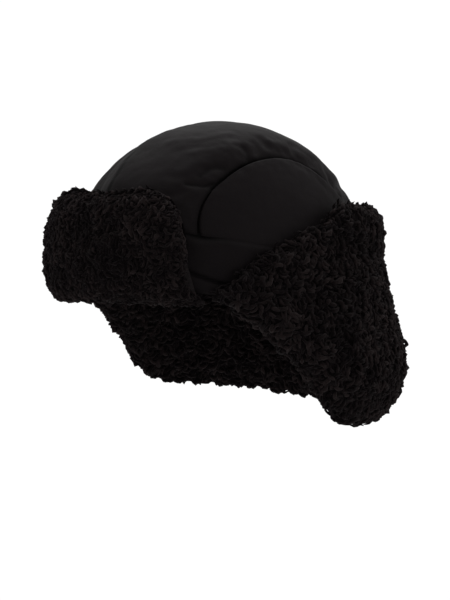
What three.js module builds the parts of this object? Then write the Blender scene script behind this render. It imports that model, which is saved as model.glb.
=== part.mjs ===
// A trapper hat: a three-panel crown of black padded nylon on a nylon band, with a peak and
// two ear flaps faced in curly sherpa fleece and all turned up, so that the fleece is outside.
//
// Units are millimetres. Inside the hat, +Z is the axis of the crown, -Y is the front and +X
// is the wearer's left. The origin is the middle of the head opening at the level of the rim.
// The whole hat is leaned back by wearTilt, as it sits on an upright head.
//
// Most places are given by three numbers: the azimuth around the head in degrees (0 at the
// front, 90 at the wearer's left, 180 at the back), the offset in millimetres outwards from
// the girth line of the crown, and the height.

import * as THREE from 'three';
import { LoftGeometry } from 'three/addons/geometries/LoftGeometry.js';

// Whole hat
const wearTilt = 12.25;
const seamGap = 0.8;
const layGap = 0.4;

// Crown: a superellipsoid above its girth line
const crown = {
	halfWidth: 85,
	halfLength: 107,
	height: 103.5,
	girthLevel: 14,
	plan: 2.4,
	arch: 2.05,
	wall: 3.2
};

// Seams of the crown panels, as distances from the middle plane
const seam = { atTop: 56, atFront: 61.5, atBack: 68, level: 38 };

const centrePuff = 3.6;
const sidePuff = 1.8;
const gatherDepth = 0.9;
const gatherSpacing = 15;

// Nylon band between the crown and the rim
const band = { rim: -2, wall: 3.2, swell: 1.0, creaseLevel: 11, creaseDepth: 0.6 };

// Peak: the edge rows say how far round it reaches at each height
const peak = {
	topMiddle: 55.5,
	topRise: 4,
	bottom: -22.5,
	bottomRise: 3,
	skew: 9,
	backingInner: 1.5,
	backing: 2.1,
	underBand: -5.2,
	pocketShare: 0.36
};

const peakEdge = [
	{ share: 0.00, azimuth: 52.5 },
	{ share: 0.10, azimuth: 53.0 },
	{ share: 0.25, azimuth: 48.0 },
	{ share: 0.45, azimuth: 45.0 },
	{ share: 0.65, azimuth: 42.0 },
	{ share: 0.80, azimuth: 39.5 },
	{ share: 0.92, azimuth: 35.5 },
	{ share: 1.00, azimuth: 26.0 }
];

const peakProfile = [
	{ share: 0.00, offset: 4.0 },
	{ share: 0.06, offset: 10.5 },
	{ share: 0.15, offset: 15.0 },
	{ share: 0.28, offset: 18.6 },
	{ share: 0.45, offset: 20.4 },
	{ share: 0.62, offset: 21.8 },
	{ share: 0.78, offset: 20.6 },
	{ share: 0.90, offset: 16.5 },
	{ share: 1.00, offset: 8.0 }
];

// Ear flap: fold is the turned lower edge, top the free upper edge, girth the share of the
// full thickness at that azimuth
const flapRows = [
	{ azimuth: 55, fold: - 5.5, top: 3, girth: 0.25 },
	{ azimuth: 61, fold: - 6.5, top: 8.5, girth: 0.44 },
	{ azimuth: 68, fold: - 14.5, top: 23, girth: 0.60 },
	{ azimuth: 74, fold: - 20.5, top: 35, girth: 0.70 },
	{ azimuth: 79, fold: - 27.5, top: 43.5, girth: 0.77 },
	{ azimuth: 85, fold: - 36.0, top: 52.5, girth: 0.83 },
	{ azimuth: 91, fold: - 45.0, top: 59, girth: 0.89 },
	{ azimuth: 98, fold: - 57.0, top: 67, girth: 0.95 },
	{ azimuth: 104, fold: - 66.5, top: 75, girth: 1.00 },
	{ azimuth: 111, fold: - 72.5, top: 78, girth: 1.00 },
	{ azimuth: 125, fold: - 75.0, top: 78, girth: 1.00 },
	{ azimuth: 140, fold: - 73.5, top: 76, girth: 1.00 },
	{ azimuth: 160, fold: - 71.5, top: 71, girth: 1.00 },
	{ azimuth: 180, fold: - 70.5, top: 64, girth: 1.00 }
];

// Ear flap in section, at full thickness: the outer pile, the nylon in the middle of the
// fold and the pile against the neck
const flapProfile = [
	{ height: - 80, outer: 27, middle: 24, inner: 19 },
	{ height: - 60, outer: 35, middle: 24, inner: 13 },
	{ height: - 40, outer: 40, middle: 22, inner: 9 },
	{ height: - 20, outer: 36.5, middle: 14.5, inner: 3 },
	{ height: 0, outer: 28, middle: 7, inner: - 3.5 },
	{ height: 20, outer: 20.5, middle: 3.5, inner: - 3.5 },
	{ height: 40, outer: 12.5, middle: 2.6, inner: - 3.5 },
	{ height: 60, outer: 9, middle: - 1.4, inner: - 3.5 },
	{ height: 80, outer: 6, middle: - 8, inner: - 3.5 }
];

const flap = {
	start: 56.3,
	end: 179.85,
	backing: 2.2,
	pocketGap: 0.75,
	foldPile: 11,
	bottomRound: 21,
	topRound: 9,
	legTop: - 2.4,
	crownFall: 0.4
};

const curl = { depth: 1.1, across: 17, up: 13 };

const nylon = new THREE.MeshStandardMaterial( { color: 0x1a1a1b, roughness: 0.62, metalness: 0 } );
const nylonBand = new THREE.MeshStandardMaterial( { color: 0x161617, roughness: 0.66, metalness: 0 } );
const sherpa = new THREE.MeshStandardMaterial( { color: 0x0d0b0c, roughness: 1, metalness: 0 } );

const radians = THREE.MathUtils.degToRad;
const lerp = THREE.MathUtils.lerp;

// A smooth curve through one column of a table, read at any value of its first column

function curve( rows, key, column ) {

	const places = rows.map( ( row ) => row[ key ] );
	const values = rows.map( ( row ) => row[ column ] );
	const track = new THREE.CubicInterpolant( places, values, 1 );
	const last = places[ places.length - 1 ];

	return ( place ) => track.evaluate( THREE.MathUtils.clamp( place, places[ 0 ], last ) )[ 0 ];

}

const peakReach = curve( peakEdge, 'share', 'azimuth' );
const peakOuter = curve( peakProfile, 'share', 'offset' );
const flapFold = curve( flapRows, 'azimuth', 'fold' );
const flapTop = curve( flapRows, 'azimuth', 'top' );
const flapGirth = curve( flapRows, 'azimuth', 'girth' );
const pileOuter = curve( flapProfile, 'height', 'outer' );
const foldMiddle = curve( flapProfile, 'height', 'middle' );
const pileInner = curve( flapProfile, 'height', 'inner' );

// A point on the superellipse around the head, offset outwards from the girth line

function around( azimuth, offset, height ) {

	const sine = Math.sin( radians( azimuth ) );
	const cosine = Math.cos( radians( azimuth ) );
	const reach = Math.pow( Math.abs( sine ) ** crown.plan + Math.abs( cosine ) ** crown.plan, - 1 / crown.plan );

	return new THREE.Vector3(
		( crown.halfWidth + offset ) * sine * reach,
		- ( crown.halfLength + offset ) * cosine * reach,
		height
	);

}

// How far out a point lies, measured in crowns: 1 is on the wall of the crown

function crownSize( point, inset ) {

	const x = Math.abs( point.x ) / ( crown.halfWidth - inset );
	const y = Math.abs( point.y ) / ( crown.halfLength - inset );
	const z = Math.max( 0, point.z - crown.girthLevel ) / ( crown.height - inset );
	const upright = Math.pow( y ** crown.arch + z ** crown.arch, 1 / crown.arch );

	return Math.pow( x ** crown.plan + upright ** crown.plan, 1 / crown.plan );

}

// The point of the crown where a straight line from its middle leaves it

function ontoCrown( point, inset ) {

	const middle = new THREE.Vector3( 0, 0, crown.girthLevel );

	return point.clone().sub( middle ).divideScalar( crownSize( point, inset ) ).add( middle );

}

function azimuthOf( point ) {

	return THREE.MathUtils.radToDeg( Math.atan2( point.x / crown.halfWidth, - point.y / crown.halfLength ) );

}

// The point of the crown wall at an azimuth and a height, found by halving

function crownAt( azimuth, height, inset ) {

	const outside = around( azimuth, - inset, height );
	let near = 0;
	let far = 1;

	for ( let pass = 0; pass < 24; pass ++ ) {

		const share = ( near + far ) / 2;
		const point = new THREE.Vector3( outside.x * share, outside.y * share, height );

		if ( crownSize( point, inset ) < 1 ) near = share;
		else far = share;

	}

	return new THREE.Vector3( outside.x * near, outside.y * near, height );

}

// A point on the crown at a distance x from the middle plane; share runs over the head from
// the lower seam at the front (0) to the lower seam at the back (1)

function overHead( x, share, inset ) {

	const across = Math.pow( Math.abs( x ) / ( crown.halfWidth - inset ), crown.plan );
	const size = Math.pow( 1 - across, 1 / crown.plan );
	const halfLength = ( crown.halfLength - inset ) * size;
	const height = ( crown.height - inset ) * size;
	const foot = ( seam.level + layGap - crown.girthLevel ) / height;
	const footAngle = Math.atan2( foot, Math.pow( 1 - foot ** crown.arch, 1 / crown.arch ) );
	const angle = lerp( footAngle, Math.PI - footAngle, share );
	const sine = Math.sin( angle );
	const cosine = Math.cos( angle );
	const reach = Math.pow( Math.abs( sine ) ** crown.arch + Math.abs( cosine ) ** crown.arch, - 1 / crown.arch );

	return new THREE.Vector3( x, - halfLength * cosine * reach, crown.girthLevel + height * sine * reach );

}

// Distance of the arched seam from the middle plane

function seamDistance( share ) {

	const lean = Math.cos( Math.PI * share );
	const foot = lean > 0 ? seam.atFront : seam.atBack;

	return lerp( seam.atTop, foot, lean * lean );

}

// Moves a point away from the middle of the crown

function puffed( point, depth ) {

	const middle = new THREE.Vector3( 0, 0, crown.girthLevel );
	const away = point.clone().sub( middle ).normalize();

	return point.clone().addScaledVector( away, depth );

}

function loft( sections, closed = false ) {

	if ( closed ) return new LoftGeometry( [ ...sections, sections[ 0 ] ] );

	return new LoftGeometry( sections, { capStart: true, capEnd: true } );

}

function mirrored( sections ) {

	return sections.map( ( section ) => section.map( ( p ) => new THREE.Vector3( - p.x, p.y, p.z ) ).reverse() );

}

function steps( count ) {

	return Array.from( { length: count + 1 }, ( _, i ) => i / count );

}

// Centre panel: the strip over the head between the two arched seams, blown up by its
// padding and gathered along the seams

const seamSteps = 36;
const cornerSteps = 6;

function centrePanel() {

	const acrossSteps = 12;
	const columns = steps( acrossSteps ).map( ( t ) => Math.sin( ( t - 0.5 ) * Math.PI ) );
	const archLength = Math.PI * crown.halfLength;

	return loft( steps( seamSteps ).map( ( share ) => {

		const edge = seamDistance( share ) - seamGap / 2;
		const endFade = Math.sin( Math.PI * share ) ** 0.5;
		const wave = Math.cos( share * archLength / gatherSpacing * 2 * Math.PI );

		const face = ( inset ) => columns.map( ( column ) => {

			const nearSeam = Math.abs( column ) ** 3 * ( 1 - column ** 8 );
			const puff = centrePuff * ( 1 - column ** 6 ) + gatherDepth * wave * nearSeam * 2;

			return puffed( overHead( column * edge, share, inset ), puff * endFade );

		} );

		return [ ...face( 0 ), ...face( crown.wall ).reverse() ];

	} ) );

}

// Side panel: a half moon filled between the arched seam above and the straight seam below

function sidePanelSections() {

	const columnCount = seamSteps - 2 * cornerSteps;
	const corner = cornerSteps / seamSteps;
	const foot = overHead( seam.atFront, 0, 0 );
	const heel = overHead( seam.atBack, 1, 0 );
	const start = azimuthOf( foot );
	const end = azimuthOf( heel );

	const face = ( along, inset ) => {

		const edge = ( share ) => overHead( seamDistance( share ) + seamGap / 2, share, inset );
		const top = edge( lerp( corner, 1 - corner, along ) );
		const low = crownAt( lerp( start, end, along ), seam.level + layGap, inset );
		const bottom = along === 0 ? edge( 0 ) : along === 1 ? edge( 1 ) : low;

		return steps( cornerSteps ).map( ( down ) => {

			const front = edge( ( 1 - down ) * corner );
			const back = edge( 1 - ( 1 - down ) * corner );
			const ruled = front.clone().lerp( back, along ).add( top.clone().lerp( bottom, down ) );
			const topChord = edge( corner ).lerp( edge( 1 - corner ), along );
			const bottomChord = edge( 0 ).lerp( edge( 1 ), along );
			const place = ontoCrown( ruled.sub( topChord.lerp( bottomChord, down ) ), inset );
			const puff = sidePuff * ( Math.sin( Math.PI * along ) * Math.sin( Math.PI * down ) ) ** 0.6;

			return down === 1 ? bottom : puffed( place, puff );

		} );

	};

	return steps( columnCount ).map( ( along ) => [ ...face( along, 0 ), ...face( along, crown.wall ).reverse() ] );

}

// Lower band: a padded ring from the crown seam to the rim, with a crease round it

function lowerBand() {

	const rows = [
		{ height: seam.level, out: 0 },
		{ height: seam.level - 6, out: 0.8 },
		{ height: 22, out: 1 },
		{ height: band.creaseLevel + 3, out: 0.7 },
		{ height: band.creaseLevel, out: - band.creaseDepth },
		{ height: band.creaseLevel - 3, out: 0.8 },
		{ height: 2, out: 0.9 },
		{ height: band.rim, out: 0.2 }
	];

	const innerHeights = [ band.rim, 14, seam.level ];
	const turns = steps( 60 ).slice( 0, - 1 );

	return loft( turns.map( ( turn ) => {

		const azimuth = turn * 360;
		const outer = rows.map( ( row ) => crownAt( azimuth, row.height, - row.out * band.swell ) );
		const inner = innerHeights.map( ( height ) => crownAt( azimuth, height, band.wall ) );

		return [ ...outer, ...inner ];

	} ), true );

}

// Thickness left near an edge that is rounded off: 0 on the edge, 1 from one radius inwards

function roundedShare( distance ) {

	return Math.sqrt( 1 - ( 1 - THREE.MathUtils.clamp( distance, 0, 1 ) ) ** 2 );

}

// Soft lumps of the pile, from two crossing waves

function curls( azimuth, height ) {

	const length = radians( azimuth ) * crown.halfLength;
	const first = Math.sin( length / curl.across * 2 * Math.PI + height / curl.up );
	const second = Math.sin( height / curl.up * 2 * Math.PI - length / curl.across * 1.7 );

	return curl.depth * ( first + second ) / 2;

}

// Height of the peak at a share of its own height; it sits slightly higher at the wearer's
// left, as worn

function peakHeight( azimuth, share ) {

	const turn = azimuth / 28;
	const lift = peak.skew * Math.sin( radians( azimuth ) );
	const bottom = peak.bottom + peak.bottomRise * ( turn / 1.8 ) ** 2;
	const top = peak.topMiddle + peak.topRise * Math.min( turn * turn, 1 );

	return lerp( bottom, top, share ) + lift;

}

function peakPoint( side, share, offset ) {

	const azimuth = side * peakReach( share );

	return around( azimuth, offset, peakHeight( azimuth, share ) );

}

function peakBacking() {

	const heights = steps( 6 );

	return loft( steps( 26 ).map( ( t ) => {

		const side = lerp( - 0.97, 0.97, t );

		const face = ( offset ) => heights.map( ( step ) => {

			const share = lerp( peak.pocketShare + 0.02, 0.975, 1 - step );

			return peakPoint( side, share, offset );

		} );

		return [ ...face( peak.backingInner + peak.backing ), ...face( peak.backingInner ).reverse() ];

	} ) );

}

function peakFleece() {

	const outerShares = [ 1, 0.96, 0.9, 0.8, 0.68, 0.56, 0.44, 0.32, 0.21, 0.12, 0.05, 0 ];
	const pocket = peak.backingInner + peak.backing + layGap;

	return loft( steps( 36 ).map( ( t ) => {

		const side = Math.sin( lerp( - 0.5, 0.5, t ) * Math.PI );
		const fullness = lerp( 0.3, 1, roundedShare( ( 1 - Math.abs( side ) ) / 0.14 ) );

		const outer = outerShares.map( ( share ) => {

			const azimuth = side * peakReach( share );
			const lump = curls( azimuth, peakHeight( azimuth, share ) ) * Math.sin( Math.PI * Math.min( 1, share + 0.1 ) );
			const offset = lerp( pocket, peakOuter( share ), fullness ) + lump * fullness;

			return peakPoint( side, share, offset );

		} );

		const rim = ( share, offset, level ) => {

			const point = peakPoint( side, share, offset );

			if ( level !== undefined ) point.z = level;

			return point;

		};

		const reach = lerp( 1, peak.underBand, fullness );
		const under = [
			rim( 0.04, reach + 3.2 ),
			rim( 0.12, reach ),
			rim( 0.2, reach, band.rim - layGap ),
			rim( 0.2, pocket - 0.4, band.rim - layGap )
		];

		const inner = [ peak.pocketShare, 0.5, 0.7, 0.9, 0.99 ].map( ( share ) => rim( share, pocket ) );

		return [ ...outer, ...under, ...inner ];

	} ) );

}

// Offset of the nylon in the middle of the flap's fold

function backingOffset( azimuth, height ) {

	const girth = flapGirth( azimuth );
	const free = foldMiddle( height ) * ( height < 30 ? girth : 1 );
	const narrowing = flap.crownFall * Math.max( 0, height - seam.level );

	return Math.max( free, band.swell + layGap + flap.backing / 2 - narrowing );

}

function slotBottom( azimuth ) {

	return Math.min( flapFold( azimuth ) + flap.foldPile * flapGirth( azimuth ), flap.legTop - 1.2 );

}

const flapTurns = steps( 30 );

function flapAzimuth( turn ) {

	return lerp( flap.start, flap.end, turn );

}

// Heights at which the nylon and the pile that lies on it are both measured

function pocketHeights( azimuth ) {

	const low = slotBottom( azimuth ) + flap.pocketGap;
	const high = flapTop( azimuth ) - 2.5;

	return steps( 5 ).map( ( step ) => lerp( low, high, step ) );

}

function flapBackingSections() {

	return flapTurns.slice( 1 ).map( ( turn ) => {

		const azimuth = flapAzimuth( turn );
		const heights = pocketHeights( azimuth );
		const face = ( side ) => heights.map( ( height ) => {

			return around( azimuth, backingOffset( azimuth, height ) + side * flap.backing / 2, height );

		} );

		return [ ...face( 1 ).reverse(), ...face( - 1 ) ];

	} );

}

// The pile of a flap in section: down the outside, round the fold, up the inside to the
// rim, and round the pocket that holds the nylon

function flapFleeceSections() {

	const outerSteps = [ 0, 0.025, 0.07, 0.14, 0.24, 0.35, 0.46, 0.57, 0.68, 0.78, 0.87, 0.94, 0.98 ];
	const legSteps = [ 0.12, 0.35, 0.7, 1 ];
	const half = flap.backing / 2 + flap.pocketGap;

	return flapTurns.map( ( turn ) => {

		const azimuth = flapAzimuth( turn );
		const fold = flapFold( azimuth );
		const top = flapTop( azimuth );
		const girth = flapGirth( azimuth );
		const slot = slotBottom( azimuth );
		const tall = top - fold;
		const topRound = Math.min( flap.topRound, tall * 0.3 );
		const bottomRound = Math.min( flap.bottomRound, tall * 0.35 );
		const at = ( offset, height ) => around( azimuth, offset, height );

		const outer = outerSteps.map( ( step ) => {

			const height = top - step * tall;
			const round = roundedShare( ( top - height ) / topRound ) * roundedShare( ( height - fold ) / bottomRound );
			const middle = backingOffset( azimuth, height ) + half;
			const full = Math.max( middle + 3, pileOuter( height ) * girth + 2 * ( 1 - girth ) );

			return at( lerp( middle, full, round ) + curls( azimuth, height ) * round * girth, height );

		} );

		const leg = legSteps.map( ( share ) => {

			const height = lerp( fold, flap.legTop, share );
			const neckSide = height < - 3 ? lerp( - 3.5, pileInner( height ), girth ) : - 3.5;

			return at( lerp( backingOffset( azimuth, height ) - 2, neckSide, roundedShare( share / 0.35 ) ), height );

		} );

		const under = at( backingOffset( azimuth, fold ), fold );
		const legTop = at( backingOffset( azimuth, flap.legTop ) - half, flap.legTop );
		const slotInner = at( backingOffset( azimuth, slot ) - half, slot );
		const slotOuter = at( backingOffset( azimuth, slot ) + half, slot );
		const pocket = pocketHeights( azimuth ).map( ( height ) => at( backingOffset( azimuth, height ) + half, height ) );

		return [ ...outer, under, ...leg, legTop, slotInner, slotOuter, ...pocket ];

	} );

}

function piece( name, geometry, material ) {

	const mesh = new THREE.Mesh( geometry, material );
	mesh.name = name;

	return mesh;

}

const sidePanel = sidePanelSections();
const flapBacking = flapBackingSections();
const flapFleece = flapFleeceSections();

const shell = new THREE.Group();
shell.add( piece( 'crown_centre_panel', centrePanel(), nylon ) );
shell.add( piece( 'crown_side_panel_left', loft( sidePanel ), nylon ) );
shell.add( piece( 'crown_side_panel_right', loft( mirrored( sidePanel ) ), nylon ) );
shell.add( piece( 'lower_band', lowerBand(), nylonBand ) );

const frontPeak = new THREE.Group();
frontPeak.add( piece( 'peak_backing', peakBacking(), nylon ) );
frontPeak.add( piece( 'peak_fleece', peakFleece(), sherpa ) );

const earFlaps = new THREE.Group();
earFlaps.add( piece( 'ear_flap_backing_left', loft( flapBacking ), nylon ) );
earFlaps.add( piece( 'ear_flap_backing_right', loft( mirrored( flapBacking ) ), nylon ) );
earFlaps.add( piece( 'ear_flap_fleece_left', loft( flapFleece ), sherpa ) );
earFlaps.add( piece( 'ear_flap_fleece_right', loft( mirrored( flapFleece ) ), sherpa ) );

const hat = new THREE.Group();
hat.add( shell, frontPeak, earFlaps );
hat.rotation.x = - radians( wearTilt );

export default hat;
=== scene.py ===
"""Looks of a black trapper hat: a padded nylon crown and band, with a turned-up peak and two
turned-up ear flaps faced in curly sherpa fleece.

Lengths in the classes are millimetres. Inside the hat +Z is the axis of the crown, -Y the front
and +X the wearer's left, and the origin is the middle of the head opening at the rim. Most
places are an azimuth (degrees from the front), an offset (outwards from the girth line of the
crown) and a height. HatForm.placed leans the hat back and turns millimetres into metres.
"""

import itertools
import logging
import math
from dataclasses import dataclass, field, replace
from enum import Enum

import bmesh
import bpy
import numpy as np
from mathutils import Matrix, Vector, noise

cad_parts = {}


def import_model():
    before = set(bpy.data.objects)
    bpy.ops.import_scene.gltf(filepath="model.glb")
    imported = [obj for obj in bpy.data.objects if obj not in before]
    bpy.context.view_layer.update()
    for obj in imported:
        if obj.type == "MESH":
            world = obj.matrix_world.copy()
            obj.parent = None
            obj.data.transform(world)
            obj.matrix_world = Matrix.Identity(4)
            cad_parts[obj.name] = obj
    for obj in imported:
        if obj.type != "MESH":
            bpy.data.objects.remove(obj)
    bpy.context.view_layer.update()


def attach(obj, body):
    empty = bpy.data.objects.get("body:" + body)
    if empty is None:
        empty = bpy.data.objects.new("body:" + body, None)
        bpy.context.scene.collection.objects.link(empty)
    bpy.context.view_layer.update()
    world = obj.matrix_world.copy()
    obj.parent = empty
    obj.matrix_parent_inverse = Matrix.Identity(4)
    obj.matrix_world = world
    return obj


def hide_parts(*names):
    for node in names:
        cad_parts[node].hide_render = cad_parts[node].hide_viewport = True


log = logging.getLogger("trapper_hat")

Array = np.ndarray
Values = Array | float
Table = tuple[tuple[float, ...], ...]
Thing, Mesh, Socket = bpy.types.Object, bpy.types.Mesh, bpy.types.NodeSocket

MILLIMETRE = 0.001
MEETING = 0.02 * MILLIMETRE
MIRROR = np.array([-1, 1, 1])
NEIGHBOURS = tuple(itertools.product((-1, 0, 1), repeat=3))


# Curves and noise.


class Smooth:
    """A smooth curve through the points of a table, flat beyond its ends."""

    def __init__(self, rows: Table, column: int = 1) -> None:
        """Reads the curve.

        Args:
            rows: The table's rows, with the place along the curve first.
            column: The column that holds the values.
        """
        table = np.array(rows, float)
        self.places, self.values = table[:, 0], table[:, column]
        slopes = np.diff(self.values) / np.diff(self.places)
        self.slopes = np.concatenate([slopes[:1], (slopes[1:] + slopes[:-1]) / 2, slopes[-1:]])

    def __call__(self, place: Values) -> Array:
        """Returns the values at some places."""
        place = np.clip(place, self.places[0], self.places[-1])
        after = np.clip(np.searchsorted(self.places, place, side="right"), 1, len(self.places) - 1)
        before = after - 1
        gap, rise = self.places[after] - self.places[before], self.values[after] - self.values[before]
        start, end = self.slopes[before] * gap, self.slopes[after] * gap
        t = (place - self.places[before]) / gap
        bend = 3 * rise - 2 * start - end + t * (start + end - 2 * rise)
        return self.values[before] + t * (start + t * bend)


def mix(low: Values, high: Values, share: Values) -> Array:
    """Returns the value a share of the way from low to high."""
    return low + (high - low) * share


def ramp(value: Values, start: Values, run: float) -> Array:
    """Returns how far a value is past start, from 0 to 1 over run."""
    return np.clip((value - start) / run, 0, 1)


def rounded(distance: Values) -> Array:
    """Returns the thickness near a rounded edge: 0 on the edge, 1 from one radius inwards."""
    return np.sqrt(1 - (1 - np.clip(distance, 0, 1)) ** 2)


def hump(distance: Values, width: Values) -> Array:
    """Returns a smooth hump that is 1 at no distance and falls off over width."""
    return np.exp(-((distance / width) ** 2))


def rise(distance: Values, run: float) -> Array:
    """Returns a rise from 0 at no distance towards 1, over run."""
    return 1 - np.exp(-distance / run)


def clouds(points: Array, size: float, seed: float, octaves: int = 2) -> Array:
    """Returns soft noise from -1 to 1.

    Args:
        points: Places, with the three coordinates on the last axis, in millimetres.
        size: Width of the largest lumps in millimetres.
        seed: Shifts the pattern.
        octaves: Number of layers, each half as large as the one before.
    """
    flat = points.reshape(-1, 3) / size + seed
    values = [noise.fractal(Vector(p), 1.0, 2.0, octaves) for p in flat.tolist()]
    return np.clip(np.array(values), -1, 1).reshape(points.shape[:-1])


def oval(angle: Array, power: float) -> tuple[Array, Array]:
    """Returns the sine and the cosine of places on a superellipse with a radius of 1."""
    sine, cosine = np.sin(angle), np.cos(angle)
    reach = (np.abs(sine) ** power + np.abs(cosine) ** power) ** (-1 / power)
    return sine * reach, cosine * reach


def folded(azimuth: Values) -> Array:
    """Returns the angle from the front, the same on both sides of the hat."""
    return np.abs((azimuth + 180) % 360 - 180)


# The hat's own form.


@dataclass(frozen=True)
class HatForm:
    """The crown's shape, its seams and the lean of the hat, shared by every piece."""

    wear_tilt: float = 12.25
    half_width: float = 85.0
    half_length: float = 107.0
    height: float = 103.5
    girth_level: float = 14.0
    plan: float = 2.4
    arch: float = 2.05
    seam_level: float = 38.0
    rim: float = -2.0
    lay_gap: float = 0.4
    lap: float = 1.2
    # Where the arched seam lies: the share of the way over the head, and its distance from the middle.
    seam: Table = (
        (0.00, 63.8), (0.05, 61.0), (0.09, 59.4), (0.14, 58.5), (0.22, 58.0), (0.30, 56.7), (0.40, 55.1),
        (0.50, 54.0), (0.57, 55.0), (0.63, 57.2), (0.70, 57.9), (0.80, 59.5), (0.92, 63.0), (1.00, 66.5),
    )  # fmt: skip

    def around(self, azimuth: Values, offset: Values, height: Values) -> Array:
        """Returns points on the superellipse around the head.

        Args:
            azimuth: Degrees from the front towards the wearer's left.
            offset: Distance outwards from the girth line.
            height: Height above the rim's level.
        """
        azimuth, offset, height = np.broadcast_arrays(azimuth, offset, height)
        sine, cosine = oval(np.radians(azimuth), self.plan)
        x, y = (self.half_width + offset) * sine, -(self.half_length + offset) * cosine
        return np.stack([x, y, height.astype(float)], axis=-1)

    def size_at(self, points: Array, inset: float) -> Array:
        """Returns how far out points lie, measured in crowns: 1 is on the crown's wall."""
        x = np.abs(points[..., 0]) / (self.half_width - inset)
        y = np.abs(points[..., 1]) / (self.half_length - inset)
        z = np.maximum(0, points[..., 2] - self.girth_level) / (self.height - inset)
        upright = (y**self.arch + z**self.arch) ** (1 / self.arch)
        return (x**self.plan + upright**self.plan) ** (1 / self.plan)

    def middle(self) -> Array:
        """Returns the middle of the crown at its girth."""
        return np.array([0.0, 0.0, self.girth_level])

    def onto_crown(self, points: Array) -> Array:
        """Returns where straight lines from the crown's middle through points leave the crown."""
        return (points - self.middle()) / self.size_at(points, 0.0)[..., None] + self.middle()

    def crown_at(self, azimuth: Array, height: Array, inset: Values) -> Array:
        """Returns the crown's wall at an azimuth and a height, found by halving."""
        outside = self.around(azimuth, -np.asarray(inset, float), height)
        near, far = np.zeros(outside.shape[:-1]), np.ones(outside.shape[:-1])
        scaled = outside.copy()
        for _ in range(24):
            share = (near + far) / 2
            scaled[..., :2] = outside[..., :2] * share[..., None]
            inside = self.size_at(scaled, inset) < 1
            near, far = np.where(inside, share, near), np.where(inside, far, share)
        scaled[..., :2] = outside[..., :2] * near[..., None]
        return scaled

    def over_head(self, x: Array, share: Array) -> Array:
        """Returns points on the crown.

        Args:
            x: Distance from the middle plane.
            share: 0 at the lower seam in front, 1 at the lower seam behind.
        """
        size = (1 - (np.abs(x) / self.half_width) ** self.plan) ** (1 / self.plan)
        height = self.height * size
        foot = (self.seam_level - self.lap - self.girth_level) / height
        start = np.arctan2(foot, (1 - foot**self.arch) ** (1 / self.arch))
        sine, cosine = oval(mix(start, math.pi - start, share), self.arch)
        y, z = -self.half_length * size * cosine, self.girth_level + height * sine
        return np.stack([x + 0 * z, y, z], axis=-1)

    def seam_distance(self, share: Array) -> Array:
        """Returns the arched seam's distance from the middle plane."""
        return Smooth(self.seam)(share)

    def seam_pull(self, azimuth: Values) -> Array:
        """Returns how hard the lower seam pulls the padding in: 1 is a deep crease, 0 is none."""
        return 0.12 + 0.88 * hump(folded(azimuth) - 48, 9.5)

    def azimuth_of(self, points: Array) -> Array:
        """Returns the azimuth of points, in degrees from the front."""
        return np.degrees(np.arctan2(points[..., 0] / self.half_width, -points[..., 1] / self.half_length))

    def puffed(self, points: Array, depth: Array) -> Array:
        """Returns points moved away from the crown's middle by depth."""
        away = points - self.middle()
        away /= np.linalg.norm(away, axis=-1, keepdims=True)
        return points + away * depth[..., None]

    def placed(self, points: Array) -> Array:
        """Returns points of the hat in the model's frame, leaned back and in metres."""
        tilt = math.radians(self.wear_tilt)
        turned = points.copy()
        turned[..., 1] = points[..., 1] * math.cos(tilt) + points[..., 2] * math.sin(tilt)
        turned[..., 2] = points[..., 2] * math.cos(tilt) - points[..., 1] * math.sin(tilt)
        return turned * MILLIMETRE


FORM = HatForm()


# Meshes.


def meshed(shape: bmesh.types.BMesh, name: str) -> Mesh:
    """Returns a new mesh with a bmesh's shape, and frees the bmesh."""
    mesh = bpy.data.meshes.new(name)
    shape.to_mesh(mesh)
    shape.free()
    return mesh


def shown(name: str, data: bpy.types.ID) -> Thing:
    """Returns a new object in the scene."""
    made = bpy.data.objects.new(name, data)
    bpy.context.scene.collection.objects.link(made)
    return made


def corners_of(mesh: Mesh) -> Array:
    """Returns the vertex at each corner of a mesh's faces."""
    corners = np.empty(len(mesh.loops), int)
    mesh.loops.foreach_get("vertex_index", corners)
    return corners


def places_of(mesh: Mesh) -> Array:
    """Returns the places of a mesh's vertices."""
    places = np.empty(len(mesh.vertices) * 3)
    mesh.vertices.foreach_get("co", places)
    return places.reshape(-1, 3)


def written(mesh: Mesh, name: str, values: Array) -> None:
    """Writes an attribute with one value for each vertex."""
    mesh.attributes.new(name, "FLOAT", "POINT").data.foreach_set("value", values.astype(np.float32).ravel())


def flat_grid(name: str, counts: tuple[int, ...]) -> tuple[Mesh, Array, Array]:
    """Makes a flat mesh for a grid of points.

    Args:
        name: The name of the mesh.
        counts: How many points the grid has along and across.

    Returns:
        The mesh, and the column and the row of each vertex.
    """
    columns, rows = (count - 1 for count in counts)
    shape = bmesh.new()
    bmesh.ops.create_grid(shape, x_segments=columns, y_segments=rows, size=0.5)
    mesh = meshed(shape, name)
    return mesh, *np.rint((places_of(mesh)[:, :2] + 0.5) * (columns, rows)).astype(int).T


def lengths(points: Array, axis: int) -> Array:
    """Returns how far each point lies along its own line of a grid of points, in millimetres."""
    steps = np.linalg.norm(np.diff(points, axis=axis), axis=-1)
    start = np.zeros_like(np.take(steps, [0], axis=axis))
    return np.concatenate([start, np.cumsum(steps, axis=axis)], axis=axis)


def outward(points: Array) -> Array:
    """Returns the unit normals of a grid of points."""
    normals = np.cross(np.gradient(points, axis=0), np.gradient(points, axis=1))
    return normals / np.maximum(np.linalg.norm(normals, axis=-1, keepdims=True), 1e-9)


class Edges(Enum):
    """How a grid of cloth is closed."""

    OPEN = "a sheet"
    RING = "its two ends meet"
    TUBE = "its two long edges meet, and its ends are closed"


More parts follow.
